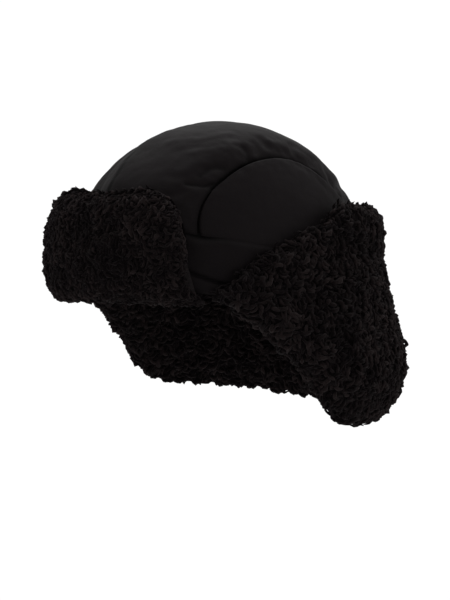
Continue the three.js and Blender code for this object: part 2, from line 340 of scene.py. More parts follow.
@dataclass
class Cloth:
    """A piece of cloth as a grid of points, made into a mesh with its own measures."""

    name: str
    points: Array
    marks: dict[str, Array] = field(default_factory=dict)
    edges: Edges = Edges.OPEN
    thickness: float = 0.0
    mirrored: bool = False

    def made(self) -> Thing:
        """Builds the object.

        Returns:
            The object, at the origin, with its place in its mesh. Its UV map, cloth, is the
            distance along and across the cloth in metres.
        """
        mesh, i, j = flat_grid(self.name, self.points.shape[:2])
        points = self.points * MIRROR if self.mirrored else self.points
        mesh.vertices.foreach_set("co", FORM.placed(points[i, j]).ravel())
        corners = corners_of(mesh)
        along, across = lengths(self.points, 0).mean(axis=1)[i], lengths(self.points, 1)[i, j]
        cloth = np.stack([along[corners], across[corners]], axis=-1) * MILLIMETRE
        mesh.uv_layers.new(name="cloth").data.foreach_set("uv", cloth.ravel())
        for name, values in self.marks.items():
            written(mesh, name, values[i, j])
        self._close(mesh)
        piece = shown(self.name, mesh)
        if self.thickness:
            wall = piece.modifiers.new("wall", "SOLIDIFY")
            wall.thickness, wall.offset = self.thickness * MILLIMETRE, -1.0
            wall.use_even_offset = False
        return piece

    def _close(self, mesh: Mesh) -> None:
        """Joins the edges that meet and turns the faces outwards."""
        shape = bmesh.new()
        shape.from_mesh(mesh)
        if self.edges is Edges.TUBE:
            bmesh.ops.remove_doubles(shape, verts=shape.verts, dist=MEETING)
            bmesh.ops.holes_fill(shape, edges=[edge for edge in shape.edges if edge.is_boundary], sides=0)
            bmesh.ops.recalc_face_normals(shape, faces=shape.faces)
        elif self.mirrored:
            bmesh.ops.reverse_faces(shape, faces=shape.faces)
        for edge in shape.edges:
            edge.smooth = not edge.is_boundary
        for face in shape.faces:
            face.smooth = True
        # A ring is joined last, so its seam stays a crisp line.
        if self.edges is Edges.RING:
            bmesh.ops.remove_doubles(shape, verts=shape.verts, dist=MEETING)
        shape.to_mesh(mesh)
        shape.free()


# Padded nylon.


@dataclass(frozen=True)
class Stuffing:
    """Padding pressed out by Blender's cloth simulation, which swells and puckers sewn cloth."""

    growth: float
    cap: float
    every: int = 3
    pressure: float = 4.0
    mass: float = 0.005
    bending: float = 0.5
    frames: int = 20
    smoothing: int = 3
    held: float = 3.0

    def swollen(self, points: Array, from_edge: Array) -> Array:
        """Presses the padding of a piece of cloth out.

        Args:
            points: The grid of points, with its faces outwards.
            from_edge: How far each point is from the nearest seam, which holds it.

        Returns:
            The points after the simulation.
        """
        counts = points.shape[:2]
        picked = [np.unique(np.append(np.arange(0, count, self.every), count - 1)) for count in counts]
        spread = [
            np.stack([np.interp(np.arange(count), lines, unit) for unit in np.eye(len(lines))], axis=1)
            for count, lines in zip(counts, picked)
        ]
        moved = np.einsum("ia,abk,jb->ijk", spread[0], self._moved(points[np.ix_(*picked)]), spread[1])
        for _ in range(self.smoothing):
            moved[1:-1] = (moved[:-2] + 2 * moved[1:-1] + moved[2:]) / 4
            moved[:, 1:-1] = (moved[:, :-2] + 2 * moved[:, 1:-1] + moved[:, 2:]) / 4
        moved *= 1 - hump(from_edge, self.held)[..., None]
        length = np.maximum(np.linalg.norm(moved, axis=-1, keepdims=True), 1e-6)
        return points + moved * self.cap * np.tanh(length / self.cap) / length

    def _moved(self, points: Array) -> Array:
        """Simulates a coarse grid of cloth.

        Args:
            points: The grid at the start.

        Returns:
            How far each point moved, in millimetres.
        """
        mesh, i, j = flat_grid("stuffing", points.shape[:2])
        mesh.vertices.foreach_set("co", (points[i, j] * MILLIMETRE).ravel())
        cloth = shown("stuffing", mesh)
        sewn = np.flatnonzero((i == 0) | (i == i.max()) | (j == 0) | (j == j.max()))
        cloth.vertex_groups.new(name="sewn").add(sewn.tolist(), 1.0, "REPLACE")
        self._press(cloth)
        after = cloth.evaluated_get(bpy.context.evaluated_depsgraph_get()).data
        moved = np.zeros_like(points)
        moved[i, j] = places_of(after) / MILLIMETRE - points[i, j]
        bpy.data.objects.remove(cloth)
        bpy.data.meshes.remove(mesh)
        bpy.context.scene.frame_set(1)
        return moved

    def _press(self, cloth: Thing) -> None:
        """Presses air into cloth that is held along its seams."""
        simulation = cloth.modifiers.new("stuffing", "CLOTH")
        settings = simulation.settings
        settings.quality, settings.mass, settings.bending_stiffness = 6, self.mass, self.bending
        settings.use_pressure, settings.uniform_pressure_force = True, self.pressure
        settings.vertex_group_mass, settings.shrink_min = "sewn", -self.growth
        settings.effector_weights.gravity = 0.0
        simulation.collision_settings.use_collision = False
        simulation.point_cache.frame_end = self.frames
        for frame in range(1, self.frames + 1):
            bpy.context.scene.frame_set(frame)


@dataclass(frozen=True)
class Fold:
    """A soft ridge or valley pressed into padded cloth along a line of points."""

    line: Table
    depth: float
    width: float
    # How much painted shade darkens the cloth's colour along the fold.
    dark: float = 0.0

    def on_crown(self) -> "Fold":
        """Returns the fold with its line laid on the crown's wall."""
        return replace(self, line=tuple(map(tuple, FORM.onto_crown(np.array(self.line, float)))))

    def relief(self, points: Array) -> Array:
        """Returns the fold's height at points of the cloth."""
        return self.depth * hump(self._distance(points), self.width)

    def shadow(self, points: Array) -> Array:
        """Returns how much of its light the cloth loses down in the fold, from 0 to 1."""
        return self.dark * hump(self._distance(points), 0.8 * self.width)

    def _distance(self, points: Array) -> Array:
        """Returns the distance from points to the line of the fold."""
        nearest = np.full(points.shape[:-1], 1e9)
        for start, end in itertools.pairwise(map(np.array, self.line)):
            step = end - start
            share = np.clip(((points - start) @ step) / (step @ step), 0, 1)
            nearest = np.minimum(nearest, np.linalg.norm(points - start - share[..., None] * step, axis=-1))
        return nearest


@dataclass(frozen=True)
class Crown:
    """Three padded nylon panels: one over the head, and a half moon at each side."""

    wall: float = 3.0
    step: float = 1.3
    seam_gap: float = 0.5
    stuffing: Stuffing = Stuffing(growth=0.015, cap=2.5)
    side_stuffing: Stuffing = Stuffing(growth=0.0, cap=1.0)
    centre_puff: float = 4.0
    side_puff: float = 1.6
    puff_run: float = 7.5
    # The sewn edges: how deep they lie, how they roll in, their groove, their puckers and how wide their
    # painted shade is.
    seam_depth: float = 1.5
    side_depth: float = 0.2
    side_round: float = 1.8
    side_round_width: float = 1.3
    side_flat: float = 5.0
    flat_run: float = 17.0
    roll: float = 1.4
    roll_run: float = 4.5
    groove: float = 0.9
    groove_width: float = 1.3
    flush: float = 1.0
    turned: float = 0.1
    pucker: float = 0.6
    pucker_spacing: float = 6.0
    pucker_run: float = 11.0
    seam_shadow_width: float = 1.3
    side_shadow_width: float = 0.8
    # The tape across the seam, inside.
    tape_reach: tuple[float, float] = (-6.0, 5.0)
    tape_depth: float = 4.2
    tape_gap: float = 0.5
    # The far crease, where the cloth falls away towards the wearer's right: y and x along it.
    sag: float = 4.0
    sag_line: Table = ((-103, -9), (-92, -12), (-84, -15.5), (-70, -15.5), (-58, -12), (-45, -6))
    sag_run: float = 16.0
    folds: tuple[Fold, ...] = (
        Fold(((40, -81, 77), (43, -72, 84), (46, -63, 90), (48, -52, 96), (49, -39, 102)), 0.8, 6.0),
        Fold(((36, -68, 93), (40, -58, 98), (43, -47, 102), (45, -33, 107)), 0.7, 5.0),
        Fold(((9, -72, 97), (18, -65, 101), (27, -59, 103), (31, -50, 107), (32, -38, 111)), 0.4, 3.5),
        Fold(((25, -74, 93), (32, -66, 96), (38, -60, 98), (41, -50, 102)), -0.4, 3.0, 0.1),
        Fold(((60, -69, 73), (59, -64, 78), (59, -57, 84), (59, -50, 89), (57, -33, 98)), -0.9, 3.0, 0.5),
        Fold(((48, -82, 70), (52, -78, 71), (56, -73, 72), (58, -68, 76)), -0.8, 1.6, 0.5),
        Fold(((51, -73, 78), (51, -68, 84), (52, -62, 87), (55, -57, 88)), -0.8, 2.6, 0.35),
        Fold(((48, -37, 104), (54, -36, 101), (58, -37, 97)), -0.8, 2.5, 0.3),
        Fold(((59, 6, 102), (60, 15, 100), (63, 24, 96), (65, 32, 90), (68, 46, 79)), -0.9, 4.0, 0.6),
        # The far crease: shallow folds with a strong line of painted shade.
        Fold(
            ((-8, -103, 54), (-9, -100, 61), (-10, -97, 68), (-11.5, -92, 75), (-15, -86, 82)),
            -0.3,
            2.2,
            0.95,
        ),
        Fold(
            ((-15, -86, 82), (-16, -81, 87), (-17, -76, 91), (-16, -70, 96), (-14, -66, 100)),
            -0.3,
            2.6,
            0.95,
        ),
        Fold(((-14, -66, 101), (-12, -60, 105), (-9, -54, 108), (-6, -49, 110)), -0.3, 3.6, 0.95),
        Fold(((46, -12, 111), (48, 5, 110), (51, 18, 107)), 0.9, 4.5),
        Fold(((-40, 20, 100), (-20, 34, 108), (10, 40, 107)), -1.0, 6.0),
        Fold(((20, 70, 80), (30, 62, 86), (42, 50, 90)), 0.9, 5.0),
    )

    def _sharp(self, height: Array) -> Array:
        """Returns how crisp the arched seam is at a height: it is soft low down."""
        return 0.35 + 0.65 * ramp(height, 62, 25)

    def _rolled(self, height: Array) -> Array:
        """Returns how far the edge rolls in at a height: only near the top."""
        return self.roll * ramp(height, 72, 15)

    def _sewn_edge(self, points: Array, seam: Array, end: Array, puff: float, sunk: float) -> Array:
        """Returns how far padded cloth stands out between its seams.

        Args:
            points: Places on the cloth.
            seam: Distance from the arched seam.
            end: Distance from the straight lower seam.
            puff: Full height of the padding.
            sunk: Depth of the cloth at the arched seam.
        """
        height = points[..., 2]
        sharp, share = self._sharp(height), sunk / self.seam_depth
        pull = FORM.seam_pull(FORM.azimuth_of(points))
        full = puff * rise(seam, self.puff_run) - sunk * sharp
        full = full - share * self._rolled(height) * np.exp(-seam / self.roll_run)
        sewn = mix(full, mix(self.flush, -self.seam_depth, pull), np.exp(-end / self.puff_run))
        groove = share * sharp * hump(seam, self.groove_width) + pull * hump(end, self.groove_width)
        gathers = clouds(points, self.pucker_spacing, 3.7, 1)
        near_seam = sharp * np.exp(-seam / self.pucker_run) * (1 - hump(seam, 2.0))
        sewn = sewn - self.turned * hump(end, 0.9)
        return sewn - self.groove * groove + self.pucker * gathers * near_seam

    def _relief(self, points: Array) -> Array:
        """Returns the folds and the slow waves of the cloth at points on the crown."""
        waves = 0.9 * clouds(points, 42.0, 11.3, 2) + 0.3 * clouds(points, 14.0, 5.1, 2)
        x, y = points[..., 0], points[..., 1]
        beyond = ramp(Smooth(self.sag_line)(y), x, self.sag_run)
        lean = beyond * ramp(x, -58, 25) * ramp(-y, 30, 30)
        return waves - self.sag * lean + sum(fold.on_crown().relief(points) for fold in self.folds)

    def centre(self) -> tuple[Array, Array]:
        """Returns the points of the panel over the head, and the painted shade in its seam and folds."""
        long, wide = 300, 150
        share = np.linspace(0, 1, round(long / self.step))[:, None]
        column = np.sin(np.linspace(-0.5, 0.5, round(wide / self.step)) * math.pi)[None, :]
        edge = FORM.seam_distance(share) - self.seam_gap / 2
        points = FORM.over_head(column * edge, share)
        shadows = sum(fold.on_crown().shadow(points) for fold in self.folds)
        seam = (1 - np.abs(column)) * edge * 1.15
        end = np.minimum(share, 1 - share) * long + 0 * column
        depth = self._sewn_edge(points, seam, end, self.centre_puff, self.seam_depth)
        points = FORM.puffed(points, depth + self._relief(points) * (1 - hump(end, 6.0)))
        points = self.stuffing.swollen(points[:, ::-1], np.minimum(seam, end)[:, ::-1])
        # Painted shade: a dark line along the arched seam, darker higher up, plus the folds' painted shade.
        dark = np.clip((points[:, ::-1, 2] - 40) / 40, 0.35, 1) * hump(seam, self.seam_shadow_width)
        return points, np.clip(dark + shadows, 0, 1)[:, ::-1]

    def side(self) -> tuple[Array, Array]:
        """Returns the points of the half moon at the wearer's left, and the painted shade at its seam."""
        corner, long, around, wide = 1 / 6, 150, 170, 85
        along = np.linspace(0, 1, round(around / self.step))[:, None]
        down = np.linspace(0, 1, round(wide / self.step))[None, :]

        def edge(share: Values) -> Array:
            """Returns points on the arched seam."""
            share = np.atleast_2d(share)
            return FORM.over_head(FORM.seam_distance(share) + self.seam_gap / 2, share)

        foot, heel, front_top, back_top = (edge(share) for share in (0.0, 1.0, corner, 1 - corner))
        azimuth = mix(FORM.azimuth_of(foot), FORM.azimuth_of(heel), along)
        top = edge(mix(corner, 1 - corner, along))
        bottom = FORM.crown_at(azimuth, np.array(FORM.seam_level - FORM.lap), 0.0)
        front, back = edge((1 - down) * corner), edge(1 - (1 - down) * corner)
        a, d = along[..., None], down[..., None]
        chords = mix(mix(front_top, back_top, a), mix(foot, heel, a), d)
        points = FORM.onto_crown(mix(front, back, a) + mix(top, bottom, d) - chords)
        tall = np.linalg.norm(top - bottom, axis=-1)
        seam = np.minimum(down * tall, np.minimum(along, 1 - along) * long)
        end = (1 - down) * tall
        flat = self.side_flat
        for distance in (down * tall, end, along * long, (1 - along) * long):
            flat = flat * rise(distance, self.flat_run)
        depth = self._sewn_edge(points, seam, end, self.side_puff, self.side_depth)
        depth = depth - self.side_round * hump(seam, self.side_round_width) - flat
        calm = (1 - hump(end, 5.0)) * (1 - hump(seam, 3.0))
        points = FORM.puffed(points, depth + 0.5 * self._relief(points) * calm)
        # Painted shade: a dark line along the arched seam.
        dark = hump(seam, self.side_shadow_width)[:, ::-1]
        return self.side_stuffing.swollen(points[:, ::-1], np.minimum(seam, end)[:, ::-1]), dark

    def tape(self) -> Array:
        """Returns the points of the tape that closes the left arched seam on the inside."""
        share = np.linspace(0, 1, 80)[:, None]
        across = np.linspace(*self.tape_reach, 9)[None, :]
        points = FORM.over_head(FORM.seam_distance(share) + across, share)
        height = points[..., 2]
        sunk = (self.seam_depth + self.groove) * self._sharp(height) + self._rolled(height)
        depth = mix(self.tape_depth, sunk + self.wall + self.tape_gap, hump(across + 1.5, 3.0))
        return FORM.puffed(points, -depth)[:, ::-1]

    def build(self, finish: "Finish") -> list[Thing]:
        """Builds the three panels and the tapes in their seams, and dresses them in nylon."""
        centre, side, tape = self.centre(), self.side(), self.tape()
        made = []
        for name, (points, dark), mirrored, cad_node in (
            ("crown_centre_cloth", centre, False, "crown_centre_panel"),
            ("crown_side_cloth_left", side, False, "crown_side_panel_left"),
            ("crown_side_cloth_right", side, True, "crown_side_panel_right"),
        ):
            # The crease attribute carries the painted shade, which darkens the nylon's colour.
            cloth = Cloth(name, points, {"crease": dark}, thickness=self.wall, mirrored=mirrored)
            made.append(worn(cloth.made(), cad_node, finish))
        for side_name, mirrored in (("left", False), ("right", True)):
            cloth = Cloth(f"seam_tape_{side_name}", tape, thickness=0.6, mirrored=mirrored)
            made.append(worn(cloth.made(), f"crown_side_panel_{side_name}", finish))
        return made


@dataclass(frozen=True)
class LowerBand:
    """A padded ring from the crown seam to the rim, with a crease above the rim."""

    wall: float = 3.0
    step: float = 1.3
    girth: float = 610.0
    tall: float = 44.0
    stuffing: Stuffing = Stuffing(growth=0.012, cap=1.2)
    swell: float = 1.0
    crease: float = 1.3
    crease_width: float = 1.5
    crease_at: float = 53.0
    groove: float = 1.4
    tuck: float = 0.15
    crease_level: Table = ((0, 12), (45, 10.6), (52, 8.8), (62, 5.6), (90, 6.5), (135, 10), (180, 11))

    def points(self) -> Array:
        """Returns the points of the band's outer face, from the crown seam down to the rim."""
        azimuth = np.linspace(0, 360, round(self.girth / self.step))[:, None]
        down = np.linspace(0, 1, round(self.tall / self.step))[None, :]
        height = mix(FORM.seam_level - 0.1, FORM.rim, down) + 0 * azimuth
        crease = height - Smooth(self.crease_level)(folded(azimuth))
        top, rim = FORM.seam_level - height, height - FORM.rim
        pull = FORM.seam_pull(azimuth)
        plump = rise(np.minimum(np.abs(crease), top + 9 * (1 - pull)), 4.0)
        sharp = hump(folded(azimuth) - self.crease_at, 12.0)
        roll = np.exp(np.minimum(crease, 0) / 3.0) * sharp * (crease < 0)
        out = (
            self.swell * (0.2 + plump)
            - self.crease * (1 + 0.8 * sharp) * hump(crease, self.crease_width)
            + 1.4 * roll * (1 - hump(crease, 2.2))
            - self.groove * 2.0 * pull * hump(top - FORM.lap, 1.2 + 2.0 * pull)
            - self.tuck * hump(top, FORM.lap)
            - 1.2 * hump(rim, 1.5)
        )
        waves = 0.5 * clouds(FORM.crown_at(azimuth, height, 0.0), 26.0, 21.0, 2)
        out = out + waves * (1 - hump(rim, 4.0)) * (1 - hump(top, 6.0))
        return FORM.crown_at(azimuth, height, -out)

    def shadows(self, points: Array) -> Array:
        """Returns the painted shade that the band's crease and the pucker below the crown seam leave on it.
        """
        turn, height = np.abs(FORM.azimuth_of(points)), points[..., 2]
        crease = hump(height - Smooth(self.crease_level)(turn), 1.0) * hump(turn - self.crease_at, 9.0)
        pulled = hump(height - (FORM.seam_level - 1.6 * FORM.lap), 2.2) * hump(turn - 47, 8.0)
        return np.clip(0.7 * crease + pulled, 0, 1)

    def build(self, finish: "Finish") -> list[Thing]:
        """Builds the band and dresses it in nylon."""
        points = self.points()[::-1]
        height = points[..., 2]
        points = self.stuffing.swollen(points, np.minimum(FORM.seam_level - height, height - FORM.rim))
        # The band's painted shade, which darkens its nylon's colour.
        marks = {"crease": self.shadows(points)}
        band = Cloth("lower_band_cloth", points, marks, Edges.RING, thickness=self.wall)
        return [worn(band.made(), "lower_band", finish)]


# Sherpa fleece.


@dataclass(frozen=True)
class Locks:
    """The curly face of sherpa: short bent locks of fibre, rooted in a lumpy matted ground."""

    spacing: float
    length: tuple[float, float]
    radius: tuple[float, float]
    arch: tuple[float, float]
    bend: tuple[float, float]
    clump: float
    clump_size: float = 9.0
    nub: float = 0.5
    nub_size: float = 3.6
    inset: float = 1.7
    sink: float = 1.1
    sides: int = 4
    joints: int = 6
    rough: float = 0.32
    blotch: float = 0.8
    blotch_size: float = 24.0

    def ground(self, points: Array, seed: float) -> Array:
        """Returns the height of the matted ground that the locks grow from."""
        lumps = self.clump * clouds(points, self.clump_size, seed, 2)
        return lumps + self.nub * clouds(points, self.nub_size, seed + 4.1, 2) - self.inset

    def _template(self) -> Mesh:
        """Returns one straight closed lock along Z from -1 to 1, with a radius of 1."""
        shape, start = bmesh.new(), Matrix.Translation((0, 0, -1))
        bmesh.ops.create_circle(shape, segments=self.sides, radius=1.0, matrix=start)
        edges = list(shape.edges)
        for _ in range(self.joints):
            grown = bmesh.ops.extrude_edge_only(shape, edges=edges)["geom"]
            verts = [item for item in grown if isinstance(item, bmesh.types.BMVert)]
            edges = [item for item in grown if isinstance(item, bmesh.types.BMEdge)]
            bmesh.ops.translate(shape, verts=verts, vec=(0, 0, 2 / self.joints))
        bmesh.ops.holes_fill(shape, edges=[edge for edge in shape.edges if edge.is_boundary], sides=0)
        bmesh.ops.recalc_face_normals(shape, faces=shape.faces)
        # Extruding adds faces in no fixed order, so they are put in one.
        shape.verts.index_update()
        shape.faces.sort(key=lambda face: sum(2.0**vert.index for vert in face.verts))
        for face in shape.faces:
            face.smooth = True
        return meshed(shape, "lock")

    def _repeated(self, name: str, count: int) -> tuple[Mesh, Array]:
        """Returns a mesh of many locks, and the points of one.

        Args:
            name: The name of the mesh.
            count: The number of locks.
        """
        template = self._template()
        shape = places_of(template)
        holder = shown("lock", template)
        copies = holder.modifiers.new("copies", "ARRAY")
        copies.count, copies.use_relative_offset = count, False
        graph = bpy.context.evaluated_depsgraph_get()
        mesh = bpy.data.meshes.new_from_object(holder.evaluated_get(graph))
        mesh.name = name
        bpy.data.objects.remove(holder)
        bpy.data.meshes.remove(template)
        return mesh, shape

    def grown(self, name: str, ground: Array, normals: Array, seed: int) -> Thing:
        """Grows locks all over a grid of points.

        Args:
            name: The name of the object.
            ground: Places on the matted ground.
            normals: The ground's directions outwards.
            seed: Picks the pattern of the locks.

        Returns:
            The object, with the height of each point in the pile, times a tone that differs at random
            from patch to patch and lock to lock, as its attribute pile, which the sherpa finish turns
            into painted shade low in the pile and painted light on the tips; and a UV map, cloth, that
            runs the fibres along each lock.
        """
        roots, up, grain = scattered(ground, normals, self.spacing, seed)
        rng = np.random.default_rng(seed + 1)
        count = len(roots)
        mesh, shape = self._repeated(name, count)
        heading = (clouds(roots, 16.0, seed * 1.7, 1) * 3.0 + rng.normal(0, 1.1, count))[:, None]
        ahead = grain * np.cos(heading) + np.cross(up, grain) * np.sin(heading)
        beside = np.cross(up, ahead)
        draw = rng.random((5, count, 1))
        bend, length = mix(*self.bend, draw[0] ** 2), mix(*self.length, draw[1])
        thick, arch = mix(*self.radius, draw[2]), mix(*self.arch, draw[3])
        x, y, t = shape.T[:, None, :]
        turn = t * length / 2 / bend
        rising = arch * (1 - t * t) - self.sink
        slope = -2 * arch * t / (length / 2)
        sine, cosine = np.sin(turn)[..., None], np.cos(turn)[..., None]
        a, b, n = ahead[:, None, :], beside[:, None, :], up[:, None, :]
        middle = roots[:, None, :] + bend[..., None] * (a * sine + b * (1 - cosine)) + n * rising[..., None]
        forward = a * cosine + b * sine + n * slope[..., None]
        forward /= np.linalg.norm(forward, axis=-1, keepdims=True)
        across = b * cosine - a * sine
        swell = thick * (1 - 0.97 * t * t) ** 0.7 * (1 + 0.2 * np.sin(7 * t + draw[4] * 6.3))
        swell = swell * (1 + self.rough * rng.uniform(-1, 1, swell.shape))
        ring = across * x[..., None] + np.cross(forward, across) * y[..., None]
        mesh.vertices.foreach_set("co", FORM.placed(middle + swell[..., None] * ring).ravel())
        height = (rising + swell * y + self.sink) / (self.arch[1] + self.radius[1])
        patch = 1 + self.blotch * clouds(roots, self.blotch_size, seed * 2.3, 2)
        # Painted shade and light: pile is the height in the pile, times a tone that differs at random.
        written(mesh, "pile", np.clip(height * (patch * mix(0.4, 1.4, rng.random(count)))[:, None], 0, 1))
        along = t * length / 2 + np.arange(count)[:, None] * 7.3
        comb = np.stack([along, np.arctan2(y, x) * thick], axis=-1).reshape(-1, 2) * MILLIMETRE
        mesh.uv_layers.new(name="cloth").data.foreach_set("uv", comb[corners_of(mesh)].ravel())
        return shown(name, mesh)


def scattered(points: Array, normals: Array, spacing: float, seed: int) -> tuple[Array, Array, Array]:
    """Picks places all over a grid of points, none nearer to another than spacing.

    Args:
        points: The grid.
        normals: Its directions outwards.
        spacing: The least distance between two places.
        seed: Picks the pattern.

    Returns:
        The places, their directions outwards and their directions along the cloth.
    """
    rng = np.random.default_rng(seed)
    corner = points[:-1, :-1]
    along, across = points[1:, :-1] - corner, points[:-1, 1:] - corner
    area = np.linalg.norm(np.cross(along, across), axis=-1)
    wanted = int(area.sum() / spacing**2 * 3)
    i, j = np.divmod(rng.choice(area.size, wanted, p=area.ravel() / area.sum()), area.shape[1])
    s, t = rng.random((2, wanted, 1))
    places = corner[i, j] + s * along[i, j] + t * across[i, j]
    taken: dict[tuple[int, ...], list[Array]] = {}
    kept = []
    for index, place in enumerate(places):
        x, y, z = (place // spacing).astype(int).tolist()
        cells = ((x + a, y + b, z + c) for a, b, c in NEIGHBOURS)
        near = itertools.chain.from_iterable(taken.get(cell, ()) for cell in cells)
        if all(((place - other) ** 2).sum() >= spacing**2 for other in near):
            taken.setdefault((x, y, z), []).append(place)
            kept.append(index)
    up, grain = normals[i[kept], j[kept]], along[i[kept], j[kept]]
    grain = grain - up * (grain * up).sum(axis=-1, keepdims=True)
    return places[kept], up, grain / np.linalg.norm(grain, axis=-1, keepdims=True)


def resampled(line: Array, count: int) -> Array:
    """Returns a line of points with count points evenly spaced along it."""
    travelled = lengths(line[:, None, :], 0)[:, 0]
    wanted = np.linspace(0, travelled[-1], count)
    return np.stack([np.interp(wanted, travelled, values) for values in line.T], axis=-1)


def softened(line: Array, passes: int) -> Array:
    """Returns a line with its corners rounded and its ends kept."""
    for _ in range(passes):
        line[1:-1] = (line[:-2] + 2 * line[1:-1] + line[2:]) / 4
    return line


@dataclass(frozen=True)
class Fleece:
    """A tube of sherpa: its ground, with the part of each section that shows first."""

    points: Array
    visible: int
    locks: Locks
    dents: tuple[Fold, ...] = ()
    seed: int = 1

    def felted(self) -> tuple[Array, Array]:
        """Returns the lumpy ground of the pile and its directions outwards."""
        closed = np.concatenate([self.points[:, -2:-1], self.points, self.points[:, 1:2]], axis=1)
        normals = outward(closed)[:, 1:-1]
        face = self.points[:, : self.visible]
        if (normals[:, : self.visible] * (face - face.mean(axis=(0, 1)))).sum() < 0:
            normals = -normals
        place = np.arange(self.points.shape[1])
        fade = ramp(np.minimum(place, self.visible - place), -1, 4) * (place < self.visible)
        height = self.locks.ground(self.points, self.seed * 3.3)
        height = (height + sum(dent.relief(self.points) for dent in self.dents)) * fade
        raised = self.points + normals * height[..., None]
        raised[:, -1] = raised[:, 0]
        return raised, normals

    def build(self, name: str, finish: "Finish", least_x: float | None = None) -> list[Thing]:
        """Builds the ground and its locks.

        Args:
            name: The solid that they stand for, and the start of the pieces' names.
            finish: What they are made of.
            least_x: On a half piece, how near it comes to the middle plane.
        """
        ground, normals = self.felted()
        if least_x is not None:
            side = np.sign(ground[..., 0].mean())
            ground[..., 0] = side * np.maximum(side * ground[..., 0], least_x)
        # The ground's low pile value is painted shade deep between the locks.
        base = Cloth(f"{name}_ground", ground, {"pile": np.full(ground.shape[:2], 0.15)}, Edges.TUBE)
        base = worn(base.made(), name, finish)
        face = slice(0, self.visible - 3)
        curls = self.locks.grown(f"{name}_curls", ground[:, face], normals[:, face], self.seed)
        return [base, worn(curls, name, finish)]


@dataclass(frozen=True)
class Peak:
    """The turned-up peak: fleece outside and over its edges, nylon behind it."""

    top_middle: float = 55.5
    top_rise: float = 4.0
    bottom: float = -22.5
    bottom_rise: float = 3.0
    skew: float = 9.0
    backing_inner: float = 1.5
    backing: float = 2.1
    under_band: float = -5.2
    pocket_share: float = 0.36
    end_round: float = 0.14
    columns: int = 150
    visible: int = 116
    hidden: int = 16
    locks: Locks = Locks(2.1, length=(5, 12), radius=(0.65, 1.5), arch=(0.6, 2.3), bend=(3, 9), clump=1.8)
    # By the share of the peak's height: the azimuth of its edge, and how far its fleece stands out.
    edge: Table = (
        (0.00, 52.5), (0.08, 52.5), (0.14, 49.5), (0.20, 47.0), (0.30, 45.6), (0.45, 44.6), (0.65, 42.0),
        (0.80, 39.0), (0.92, 34.5), (1.00, 25.0),
    )  # fmt: skip
    profile: Table = (
        (0.00, 4.0), (0.06, 10.5), (0.15, 15.0), (0.28, 18.6), (0.45, 20.4), (0.62, 21.8), (0.78, 20.6),
        (0.90, 16.5), (1.00, 8.0),
    )  # fmt: skip
    dents: tuple[Fold, ...] = (
        Fold(((-8, -126, 28), (12, -126, 29), (27, -124, 33)), -3.0, 9.0),
        Fold(((40, -110, 2), (52, -104, 14)), -1.2, 7.0),
    )

    def at(self, side: Values, share: Values, offset: Values) -> Array:
        """Returns points of the peak, which is worn a little askew.

        Args:
            side: From -1 at the wearer's right edge to 1 at the left edge.
            share: From 0 at the bottom to 1 at the top.
            offset: Distance outwards from the girth line.
        """
        azimuth = side * Smooth(self.edge)(share)
        turn = azimuth / 28
        low = self.bottom + self.bottom_rise * (turn / 1.8) ** 2
        high = self.top_middle + self.top_rise * np.minimum(turn * turn, 1)
        height = mix(low, high, share) + self.skew * np.sin(np.radians(azimuth))
        return FORM.around(azimuth, offset, height)

    def _section(self, side: float) -> Array:
        """Returns the closed section of the fleece at one side value."""
        pocket = self.backing_inner + self.backing + FORM.lay_gap
        full = float(mix(0.3, 1, rounded((1 - abs(side)) / self.end_round)))
        share = (1 + np.cos(np.linspace(0, 1, 160) * math.pi)) / 2
        outer = self.at(side, share, mix(pocket, Smooth(self.profile)(share), full))
        reach = mix(1, self.under_band, full)
        turned = np.array([(0.04, reach + 3.2), (0.12, reach), (0.2, reach), (0.2, pocket - 0.4)])
        under = self.at(side, *turned.T)
        under[2:, 2] = FORM.rim - FORM.lay_gap
        inner = self.at(side, np.array([self.pocket_share, 0.5, 0.7, 0.9, 0.99, 1.0]), pocket)
        face = softened(resampled(np.vstack([outer, under[:3]]), self.visible), 8)
        behind = resampled(np.vstack([under[2:], inner]), self.hidden)
        return np.vstack([face, behind[1:-1], face[:1]])

    def lining(self) -> Array:
        """Returns the points of the nylon behind the fleece."""
        side = np.linspace(-0.97, 0.97, 130)[:, None]
        share = np.linspace(self.pocket_share + 0.02, 0.975, 50)[None, :]
        return self.at(side, share, self.backing_inner + self.backing)

    def build(self, nylon: "Finish", sherpa: "Finish") -> list[Thing]:
        """Builds the peak's nylon and fleece."""
        lining = Cloth("peak_lining_cloth", self.lining(), thickness=self.backing)
        sides = np.sin(np.linspace(-0.5, 0.5, self.columns) * math.pi)
        sections = np.stack([self._section(side) for side in sides])
        fleece = Fleece(sections, self.visible, self.locks, self.dents, seed=5)
        return [worn(lining.made(), "peak_backing", nylon), *fleece.build("peak_fleece", sherpa)]


